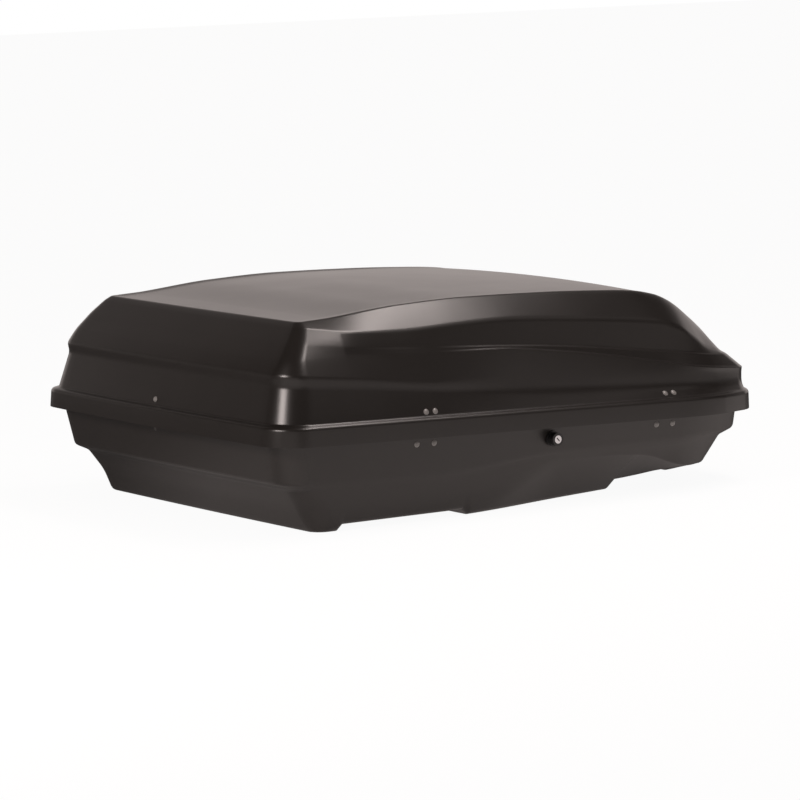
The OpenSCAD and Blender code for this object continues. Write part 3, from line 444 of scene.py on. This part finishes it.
def smooth_by_angle(piece, degrees):
    """Smooth shading with sharp edges where two faces meet at more than the given angle."""
    bm = bmesh.new()
    bm.from_mesh(piece.data)
    limit = math.radians(degrees)
    for face in bm.faces:
        face.smooth = True
    for edge in bm.edges:
        edge.smooth = len(edge.link_faces) == 2 and edge.calc_face_angle(0.0) < limit
    bm.to_mesh(piece.data)
    bm.free()


def thicken(piece, wall):
    """Gives a skin its wall, on the inside."""
    solid = piece.modifiers.new("wall", "SOLIDIFY")
    solid.thickness = wall
    solid.offset = -1
    solid.use_even_offset = False
    bake_modifiers(piece)


# Cutting

def prism(outline, low, high):
    """Vertices and faces of an upright prism."""
    n = len(outline)
    points = [(x, y, low) for x, y in outline] + [(x, y, high) for x, y in outline]
    faces = [tuple(range(n))[::-1], tuple(range(n, 2 * n))]
    faces += [(i, (i + 1) % n, n + (i + 1) % n, n + i) for i in range(n)]
    return points, faces


def slot_cutter(centre, length, width):
    """A cutter with round ends for one clamp slot, in the shared frame."""
    half = (length - width) / 2
    outline = []
    for end, start in ((half, -math.pi / 2), (-half, math.pi / 2)):
        for i in range(SLOT_END_STEPS + 1):
            a = start + math.pi * i / SLOT_END_STEPS
            outline.append((centre[0] + end + width / 2 * math.cos(a),
                            centre[1] + width / 2 * math.sin(a)))
    return prism(outline, centre[2] - SLOT_CUT_DEPTH / 2, centre[2] + SLOT_CUT_DEPTH / 2)


def clamp_slots(width):
    """Cutters for the slots of each roof bar clamp that the record names."""
    cutters = []
    for mount in frame["record"]["mounts"]:
        if mount["kind"] != "bolt_pattern":
            continue
        dims = mount["dims"]
        for sx in (-0.5, 0.5):
            for sy in (-0.5, 0.5):
                centre = (
                    mount["pos_m"][0] + sx * dims["spacing_x_mm"] * MM,
                    mount["pos_m"][1] + sy * dims["spacing_y_mm"] * MM,
                    mount["pos_m"][2],
                )
                cutters.append(slot_cutter(centre, dims["slot_length_mm"] * MM, width))
    return cutters


def lock_hole():
    """A round cutter along the lock housing's own axis."""
    low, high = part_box("lock_housing")
    nut_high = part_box("lock_nut")[1]
    middle = (low + high) / 2
    sides = LOCK_HOLE_SIDES
    ring = [(middle[0] + LOCK_HOLE_R * math.cos(2 * math.pi * i / sides),
             middle[2] + LOCK_HOLE_R * math.sin(2 * math.pi * i / sides)) for i in range(sides)]
    points = [(x, low[1] - LOCK_HOLE_PAST, z) for x, z in ring]
    points += [(x, nut_high[1] + LOCK_HOLE_PAST, z) for x, z in ring]
    faces = [tuple(range(sides)), tuple(range(sides, 2 * sides))[::-1]]
    faces += [(i, sides + i, sides + (i + 1) % sides, (i + 1) % sides) for i in range(sides)]
    return points, faces


def cutter_piece(name, parts):
    """One mesh object that holds all cutters of a boolean cut."""
    points = []
    faces = []
    for part_points, part_faces in parts:
        start = len(points)
        points += part_points
        faces += [tuple(i + start for i in f) for f in part_faces]
    mesh = bpy.data.meshes.new(name)
    mesh.from_pydata(points, [], faces)
    mesh.update()
    return new_piece(name, mesh)


def cut_away(piece, cutter):
    """Cuts the cutter out of the piece, and removes the cutter."""
    cut = piece.modifiers.new("cut", "BOOLEAN")
    cut.operation = "DIFFERENCE"
    cut.solver = "EXACT"
    cut.object = cutter
    bake_modifiers(piece)
    mesh = cutter.data
    bpy.data.objects.remove(cutter)
    bpy.data.meshes.remove(mesh)


# Finishes

def set_inputs(node, inputs):
    """Sets a node's sockets by name, with _ for each space."""
    for name, value in inputs.items():
        node.inputs[name.replace("_", " ")].default_value = value


class NodeTree:
    """Short way to write a node tree."""

    def __init__(self, tree):
        self.tree = tree

    def add(self, kind, **inputs):
        node = self.tree.nodes.new(kind)
        set_inputs(node, inputs)
        return node

    def link(self, source, target):
        self.tree.links.new(source, target)

    def feed(self, value, socket):
        """Sets a socket to a number, or links another node's output to it."""
        if isinstance(value, float):
            socket.default_value = value
        else:
            self.link(value, socket)

    def ramp(self, value, start, end, first, last, easing="LINEAR"):
        node = self.add("ShaderNodeMapRange", From_Min=start, From_Max=end, To_Min=first, To_Max=last)
        node.interpolation_type = easing
        self.link(value, node.inputs["Value"])
        return node.outputs["Result"]

    def combine(self, operation, first, last):
        node = self.add("ShaderNodeMath")
        node.operation = operation
        self.feed(first, node.inputs[0])
        self.feed(last, node.inputs[1])
        return node.outputs[0]

    def blend(self, factor, first, last):
        node = self.add("ShaderNodeMix")
        self.link(factor, node.inputs["Factor"])
        self.feed(first, node.inputs["A"])
        self.feed(last, node.inputs["B"])
        return node.outputs["Result"]

    def mix_shaders(self, factor, first, last):
        node = self.add("ShaderNodeMixShader")
        self.link(factor, node.inputs["Fac"])
        self.link(first, node.inputs[1])
        self.link(last, node.inputs[2])
        return node.outputs["Shader"]


class MaterialNodes(NodeTree):
    """The node tree of a new material, with what its finishes share."""

    def __init__(self, name):
        self.material = bpy.data.materials.new(name)
        self.material.use_nodes = True
        super().__init__(self.material.node_tree)
        self.shader = self.tree.nodes["Principled BSDF"]

    def set(self, **inputs):
        set_inputs(self.shader, inputs)

    def place(self):
        return self.add("ShaderNodeTexCoord").outputs["Object"]

    def noise(self, scale, detail, roughness=0.5):
        node = self.add("ShaderNodeTexNoise", Scale=scale, Detail=detail, Roughness=roughness)
        self.link(self.place(), node.inputs["Vector"])
        return node.outputs["Fac"]

    def tint(self, value, dark, light):
        node = self.add("ShaderNodeValToRGB")
        node.color_ramp.elements[0].color = (*dark, 1)
        node.color_ramp.elements[1].color = (*light, 1)
        self.link(value, node.inputs["Fac"])
        self.link(node.outputs["Color"], self.shader.inputs["Base Color"])

    def roughen(self, value, low, high):
        self.link(self.ramp(value, 0.0, 1.0, low, high), self.shader.inputs["Roughness"])

    def bump(self, value, height, strength):
        node = self.add("ShaderNodeBump", Strength=strength, Distance=height)
        self.link(value, node.inputs["Height"])
        self.link(node.outputs["Normal"], self.shader.inputs["Normal"])


def shade(colour, factor):
    return tuple(c * factor for c in colour)


def moulded_plastic(name, colour, roughness, gloss, grain):
    """Vacuum-formed sheet: fine grain, and faint cloudiness in the colour and the gloss."""
    nodes = MaterialNodes(name)
    cloud = nodes.noise(scale=9.0, detail=3.0)
    nodes.tint(cloud, shade(colour, 0.88), shade(colour, 1.12))
    nodes.roughen(cloud, roughness - 0.02, roughness + 0.02)
    nodes.bump(nodes.noise(scale=1400.0, detail=2.0, roughness=0.6), height=grain, strength=0.35)
    nodes.set(Specular_IOR_Level=gloss)
    return nodes.material


def plated_steel(name, colour, roughness):
    """Zinc-plated pressed steel with a cloudy spangle and fine rolling marks."""
    nodes = MaterialNodes(name)
    spangle = nodes.noise(scale=160.0, detail=4.0, roughness=0.65)
    nodes.tint(spangle, shade(colour, 0.8), shade(colour, 1.1))
    nodes.roughen(spangle, roughness - 0.08, roughness + 0.12)
    nodes.bump(nodes.noise(scale=900.0, detail=2.0), height=0.00004, strength=0.3)
    nodes.set(Metallic=1.0)
    return nodes.material


def worn_rivet(name, colour):
    """Dull rivet heads with uneven wear."""
    nodes = MaterialNodes(name)
    wear = nodes.noise(scale=420.0, detail=3.0)
    nodes.tint(wear, shade(colour, 0.8), shade(colour, 1.3))
    nodes.roughen(wear, 0.28, 0.42)
    nodes.bump(nodes.noise(scale=1500.0, detail=1.0), height=0.00003, strength=0.3)
    nodes.set(Specular_IOR_Level=0.6)
    return nodes.material


def polished_barrel(name, colour):
    """Chromed metal under a faint haze."""
    nodes = MaterialNodes(name)
    haze = nodes.noise(scale=600.0, detail=3.0)
    nodes.tint(haze, shade(colour, 0.92), colour)
    nodes.roughen(haze, 0.1, 0.2)
    nodes.bump(nodes.noise(scale=2500.0, detail=1.0), height=0.00001, strength=0.2)
    nodes.set(Metallic=1.0)
    return nodes.material


def dress(material, *names):
    """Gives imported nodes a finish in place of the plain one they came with."""
    for name in names:
        data = frame["nodes"][name].data
        data.materials.clear()
        data.materials.append(material)


# Settings

class CargoBoxShape(bpy.types.PropertyGroup):
    """Sizes of the moulded shells that the looks may vary"""

    nose_taper: FloatProperty(
        name="Nose Taper", description="Share of the width lost at the nose",
        default=0.17, subtype="FACTOR")
    nose_bow: FloatProperty(
        name="Nose Bow", description="Bow of the nose seen from above, in millimetres", default=19.0)
    lid_wall: FloatProperty(
        name="Lid Wall", description="Thickness of the lid", default=0.0035, unit="LENGTH")
    tray_wall: FloatProperty(
        name="Tray Wall", description="Thickness of the tray", default=0.004, unit="LENGTH")
    slot_width: FloatProperty(
        name="Slot Width", description="Width of a clamp slot", default=0.0085, unit="LENGTH")


class CargoBoxFinish(bpy.types.PropertyGroup):
    """Colours of the box"""

    lid_colour: FloatVectorProperty(
        name="Lid", description="Colour of the lid",
        default=(0.011, 0.0095, 0.0085), subtype="COLOR")
    tray_colour: FloatVectorProperty(
        name="Tray", description="Colour of the tray",
        default=(0.0155, 0.0136, 0.0124), subtype="COLOR")
    steel_colour: FloatVectorProperty(
        name="Steel", description="Colour of the plated steel",
        default=(0.55, 0.56, 0.57), subtype="COLOR")
    chrome_colour: FloatVectorProperty(
        name="Barrel", description="Colour of the lock barrel",
        default=(0.6, 0.6, 0.61), subtype="COLOR")
    rivet_colour: FloatVectorProperty(
        name="Rivets", description="Colour of the rivets",
        default=(0.145, 0.14, 0.135), subtype="COLOR")
    nylon_colour: FloatVectorProperty(
        name="Lock Housing", description="Colour of the lock housing",
        default=(0.012, 0.012, 0.012), subtype="COLOR")


class CargoBoxStudio(bpy.types.PropertyGroup):
    """Camera and light"""

    azimuth: FloatProperty(
        name="Azimuth", description="Camera angle round the box",
        default=math.radians(-34.0), subtype="ANGLE")
    elevation: FloatProperty(
        name="Elevation", description="Camera angle above the rim",
        default=math.radians(6.4), subtype="ANGLE")
    distance: FloatProperty(
        name="Distance", description="Camera distance from its target",
        default=8.216, unit="LENGTH")
    lens: FloatProperty(
        name="Lens", description="Focal length on a 36 mm sensor", default=193.5, unit="CAMERA")
    target: FloatVectorProperty(
        name="Target", description="Point that the camera looks at, in the rim's frame",
        default=(-0.0342, -0.026, -0.0163), subtype="XYZ")
    sky: FloatProperty(
        name="Sky", description="Strength of the even studio light", default=0.5)
    warmth: FloatVectorProperty(
        name="Warmth", description="Colour of the studio light",
        default=(1.0, 0.89, 0.855), subtype="COLOR")
    floor_size: FloatProperty(
        name="Floor Size", description="Length of the floor's edge", default=40.0, unit="LENGTH")


# Pieces

class CARGOBOX_OT_lid(bpy.types.Operator):
    """Build the moulded lid shell"""

    bl_idname = "cargobox.lid"
    bl_label = "Lid"

    def execute(self, context):
        shape = context.scene.cargo_box_shape
        finish = context.scene.cargo_box_finish
        stations = np.linspace(*LID_SIDE, SIDE_STEPS)
        lid = new_piece("lid", shell_mesh("lid", LID_LEVELS, shape, stations, ROOF_CROWN, True))
        thicken(lid, shape.lid_wall)
        smooth_by_angle(lid, SHARP_ANGLE)
        lid.data.materials.append(moulded_plastic(
            "satin_lid_abs", finish.lid_colour, roughness=0.3, gloss=0.5, grain=0.00005))
        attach(lid, "lid")
        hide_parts("lid_shell")
        return {"FINISHED"}


class CARGOBOX_OT_tray(bpy.types.Operator):
    """Build the moulded tray shell with its clamp slots and lock hole"""

    bl_idname = "cargobox.tray"
    bl_label = "Tray"

    def execute(self, context):
        shape = context.scene.cargo_box_shape
        finish = context.scene.cargo_box_finish
        edges = []
        for middle, length, _ in CHANNELS:
            for side in (-1, 1):
                edges += [middle + side * length / 2, middle + side * (length / 2 + CHANNEL_RAMP)]
        stations = np.unique(np.concatenate((np.linspace(*TRAY_SIDE, SIDE_STEPS), edges)))
        tray = new_piece("tray", shell_mesh("tray", TRAY_LEVELS, shape, stations, 0.0, False))
        thicken(tray, shape.tray_wall)
        cut_away(tray, cutter_piece("tray_cutters", [lock_hole()] + clamp_slots(shape.slot_width)))
        smooth_by_angle(tray, SHARP_ANGLE)
        tray.data.materials.clear()
        tray.data.materials.append(moulded_plastic(
            "grained_tray_abs", finish.tray_colour, roughness=0.38, gloss=0.5, grain=0.00007))
        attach(tray, "base")
        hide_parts("base_shell")
        return {"FINISHED"}


class CARGOBOX_OT_rivets(bpy.types.Operator):
    """Finish the rivets"""

    bl_idname = "cargobox.rivets"
    bl_label = "Rivets"

    def execute(self, context):
        finish = context.scene.cargo_box_finish
        dress(worn_rivet("bare_rivet", finish.rivet_colour),
              "hinge_base_rivets", "hinge_lid_rivets", "guide_rivets", "striker_rivets",
              "stay_lid_pivots")
        # The tray's stay pivots take the rivet finish darkened to about a third: painted shade
        dress(worn_rivet("painted_shade_rivet", shade(finish.rivet_colour, 0.35)), "stay_base_pivots")
        return {"FINISHED"}


class CARGOBOX_OT_lock(bpy.types.Operator):
    """Finish the lock and the latch bar that it moves"""

    bl_idname = "cargobox.lock"
    bl_label = "Lock"

    def execute(self, context):
        finish = context.scene.cargo_box_finish
        dress(moulded_plastic("lock_nylon", finish.nylon_colour,
                              roughness=0.4, gloss=0.4, grain=0.00003),
              "lock_housing")
        dress(polished_barrel("barrel_chrome", finish.chrome_colour), "lock_barrel")
        dress(plated_steel("latch_steel", finish.steel_colour, roughness=0.34),
              "lock_nut", "lock_cam", "latch_bar", "bar_guide_rear", "bar_guide_front",
              "striker_rear", "striker_front")
        return {"FINISHED"}


class CARGOBOX_OT_hinges_and_stays(bpy.types.Operator):
    """Finish the hinges, the lid stays and the floor plates"""

    bl_idname = "cargobox.hinges_and_stays"
    bl_label = "Hinges and Stays"

    def execute(self, context):
        finish = context.scene.cargo_box_finish
        ends = ("rear", "front")
        dress(plated_steel("hinge_steel", finish.steel_colour, roughness=0.36),
              *[f"hinge_{part}_{end}" for part in ("base_leaf", "lid_leaf", "pin") for end in ends])
        dress(plated_steel("stay_steel", finish.steel_colour, roughness=0.3),
              *[f"stay_{part}_{end}" for part in ("lower", "upper", "elbow") for end in ends])
        dress(plated_steel("plate_steel", shade(finish.steel_colour, 0.9), roughness=0.42),
              *[f"floor_plate_{end}_{side}" for end in ends for side in ("left", "right")],
              "floor_plate_rivets")
        return {"FINISHED"}


# Studio

def studio_world(sky, warmth, backdrop):
    """A studio world: camera rays see plain white, and mirrored rays a dim room with a backdrop
    behind the box, two screens on its front side and one behind the camera."""
    world = bpy.data.worlds.new("studio")
    world.use_nodes = True
    nodes = NodeTree(world.node_tree)
    path = nodes.add("ShaderNodeLightPath")
    way = nodes.add("ShaderNodeTexCoord").outputs["Generated"]
    split = nodes.add("ShaderNodeSeparateXYZ")
    nodes.link(way, split.inputs[0])
    height = split.outputs["Z"]

    def fade(value, start, end, first, last):
        return nodes.ramp(value, start, end, first, last, easing="SMOOTHSTEP")

    def facing(direction):
        node = nodes.add("ShaderNodeVectorMath")
        node.operation = "DOT_PRODUCT"
        nodes.link(way, node.inputs[0])
        node.inputs[1].default_value = direction
        return node.outputs["Value"]

    front = facing(Vector(FRONT_SCREEN).normalized())
    upper = facing(Vector(UPPER_SCREEN).normalized())
    screens = nodes.combine(
        "ADD",
        nodes.combine("MULTIPLY",
                      fade(front, start=0.82, end=0.97, first=0.17, last=0.52),
                      fade(height, start=0.12, end=0.4, first=1.0, last=0.03)),
        fade(upper, start=0.96, end=0.99, first=0.0, last=0.36))
    room = nodes.blend(
        fade(facing(-backdrop), start=0.9, end=0.98, first=0.0, last=1.0), screens,
        fade(height, start=0.05, end=0.35, first=0.7, last=0.1))
    mirrored = nodes.blend(
        fade(facing(backdrop), start=0.48, end=0.8, first=0.0, last=1.0), room,
        fade(height, start=0.12, end=0.5, first=1.0, last=0.3))

    light = nodes.tree.nodes["Background"]
    light.inputs["Color"].default_value = (*warmth, 1)
    nodes.link(nodes.blend(path.outputs["Is Glossy Ray"], sky, mirrored), light.inputs["Strength"])
    white = nodes.add("ShaderNodeBackground", Color=(1, 1, 1, 1), Strength=1.0)
    seen = nodes.combine(
        "MAXIMUM", path.outputs["Is Camera Ray"], path.outputs["Is Transmission Ray"])
    nodes.link(nodes.mix_shaders(seen, light.outputs["Background"], white.outputs["Background"]),
               nodes.tree.nodes["World Output"].inputs["Surface"])
    return world


def paper_floor(warmth):
    """White paper to the camera; mirrored in the box it is a painted glow, dimmed by painted shadow under the box
    and darker towards the tail.
    """
    nodes = MaterialNodes("pale_floor")
    nodes.set(Base_Color=(0.9, 0.9, 0.9, 1), Roughness=0.9, Specular_IOR_Level=0.1)
    path = nodes.add("ShaderNodeLightPath")
    place = nodes.add("ShaderNodeSeparateXYZ")
    nodes.link(nodes.place(), place.inputs[0])
    along, across = place.outputs["X"], place.outputs["Y"]
    # Painted shadow: the glow drops to a fifth under the box, and stays at half or more past its tail
    painted_shadow_under_box = nodes.combine(
        "MAXIMUM",
        nodes.ramp(across, start=-0.46, end=-0.25, first=1.0, last=0.2),
        nodes.ramp(along, start=-0.5, end=0.0, first=0.5, last=0.0))
    # The painted glow is also weaker far out in front, behind the box and towards the tail
    far = nodes.combine(
        "MULTIPLY",
        nodes.ramp(across, start=-3.0, end=-1.0, first=0.55, last=1.0),
        nodes.ramp(across, start=0.0, end=0.4, first=1.0, last=0.35))
    level = nodes.combine(
        "MULTIPLY", nodes.ramp(along, start=-0.25, end=0.5, first=0.78, last=1.0), painted_shadow_under_box)
    # Mirrored rays see only this glow, a painted reflection in place of the floor's lit shading
    mirrored = nodes.add("ShaderNodeEmission", Color=(*warmth, 1))
    nodes.link(nodes.combine("MULTIPLY", level, far), mirrored.inputs["Strength"])
    glow = nodes.add("ShaderNodeEmission", Strength=1.0)
    seen = nodes.mix_shaders(
        nodes.combine("MULTIPLY", path.outputs["Is Camera Ray"], FLOOR_WHITE),
        nodes.shader.outputs["BSDF"], glow.outputs["Emission"])
    nodes.link(
        nodes.mix_shaders(path.outputs["Is Glossy Ray"], seen, mirrored.outputs["Emission"]),
        nodes.tree.nodes["Material Output"].inputs["Surface"])
    return nodes.material


def aimed(origin, target):
    """A transform at origin that looks at target, with its up axis towards +Z."""
    back = (origin - target).normalized()
    right = Vector((0, 0, 1)).cross(back).normalized()
    up = back.cross(right)
    turn = Matrix((right, up, back)).transposed().to_4x4()
    turn.translation = origin
    return turn


def soft_light(name, colour, place, target, width, height, power):
    """A rectangular lamp that looks at its target, in metres and watts."""
    data = bpy.data.lights.new(name, "AREA")
    data.color = colour
    data.shape = "RECTANGLE"
    data.size = width
    data.size_y = height
    data.energy = power
    lamp = bpy.data.objects.new(name, data)
    bpy.context.scene.collection.objects.link(lamp)
    lamp.matrix_world = aimed(Vector(place), Vector(target))


class CARGOBOX_OT_stage(bpy.types.Operator):
    """Set up the floor, the light and the camera"""

    bl_idname = "cargobox.stage"
    bl_label = "Studio"

    def execute(self, context):
        scene = context.scene
        studio = scene.cargo_box_studio
        scene.view_settings.view_transform = "Standard"

        behind = Vector((-math.sin(studio.azimuth), math.cos(studio.azimuth), 0.0))
        scene.world = studio_world(studio.sky, studio.warmth, behind)

        half = studio.floor_size / 2
        mesh = bpy.data.meshes.new("floor")
        mesh.from_pydata([(-half, -half, 0), (half, -half, 0), (half, half, 0), (-half, half, 0)],
                         [], [(0, 1, 2, 3)])
        floor = new_piece("floor", mesh)
        floor.location.z = -FLOOR_GAP
        floor.data.materials.append(paper_floor(studio.warmth))

        soft_light("overhead_softbox", studio.warmth, place=(0.96, -0.47, 2.6),
                   target=(0.96, -0.42, 0.0), width=0.55, height=1.1, power=28)
        soft_light("corner_softbox", studio.warmth, place=(-2.65, -0.9, 1.45),
                   target=(-0.53, -0.39, 0.24), width=0.8, height=0.8, power=42)
        soft_light("cone_softbox", studio.warmth, place=(0.33, -1.39, 2.13),
                   target=(-0.44, -0.374, 0.34), width=0.5, height=0.5, power=11.5)

        eye = Vector((
            math.sin(studio.azimuth) * math.cos(studio.elevation),
            -math.cos(studio.azimuth) * math.cos(studio.elevation),
            math.sin(studio.elevation),
        ))
        target = Vector(studio.target)
        data = bpy.data.cameras.new("photo_camera")
        data.sensor_width = SENSOR_WIDTH
        data.lens = studio.lens
        data.clip_end = CLIP_END
        camera = bpy.data.objects.new("photo_camera", data)
        scene.collection.objects.link(camera)
        camera.matrix_world = RIM @ aimed(target + eye * studio.distance, target)
        scene.camera = camera
        return {"FINISHED"}


class CARGOBOX_PT_panel(bpy.types.Panel):
    """Lists the steps that dress the box"""

    bl_idname = "CARGOBOX_PT_panel"
    bl_label = "Cargo Box"
    bl_space_type = "VIEW_3D"
    bl_region_type = "UI"
    bl_category = "Cargo Box"

    def draw(self, context):
        for group in (context.scene.cargo_box_shape, context.scene.cargo_box_finish,
                      context.scene.cargo_box_studio):
            for name in group.__annotations__:
                self.layout.prop(group, name)
        for operator in OPERATORS:
            self.layout.operator(operator.bl_idname)


GROUPS = (CargoBoxShape, CargoBoxFinish, CargoBoxStudio)
OPERATORS = (
    CARGOBOX_OT_lid,
    CARGOBOX_OT_tray,
    CARGOBOX_OT_rivets,
    CARGOBOX_OT_lock,
    CARGOBOX_OT_hinges_and_stays,
    CARGOBOX_OT_stage,
)
CLASSES = GROUPS + OPERATORS + (CARGOBOX_PT_panel,)


def register():
    for cls in CLASSES:
        bpy.utils.register_class(cls)
    bpy.types.Scene.cargo_box_shape = PointerProperty(type=CargoBoxShape)
    bpy.types.Scene.cargo_box_finish = PointerProperty(type=CargoBoxFinish)
    bpy.types.Scene.cargo_box_studio = PointerProperty(type=CargoBoxStudio)


def unregister():
    del bpy.types.Scene.cargo_box_studio
    del bpy.types.Scene.cargo_box_finish
    del bpy.types.Scene.cargo_box_shape
    for cls in reversed(CLASSES):
        bpy.utils.unregister_class(cls)


def main():
    register()
    bpy.ops.cargobox.lid()
    bpy.ops.cargobox.tray()
    bpy.ops.cargobox.rivets()
    bpy.ops.cargobox.lock()
    bpy.ops.cargobox.hinges_and_stays()
    bpy.ops.cargobox.stage()


if __name__ == "__main__":
    main()
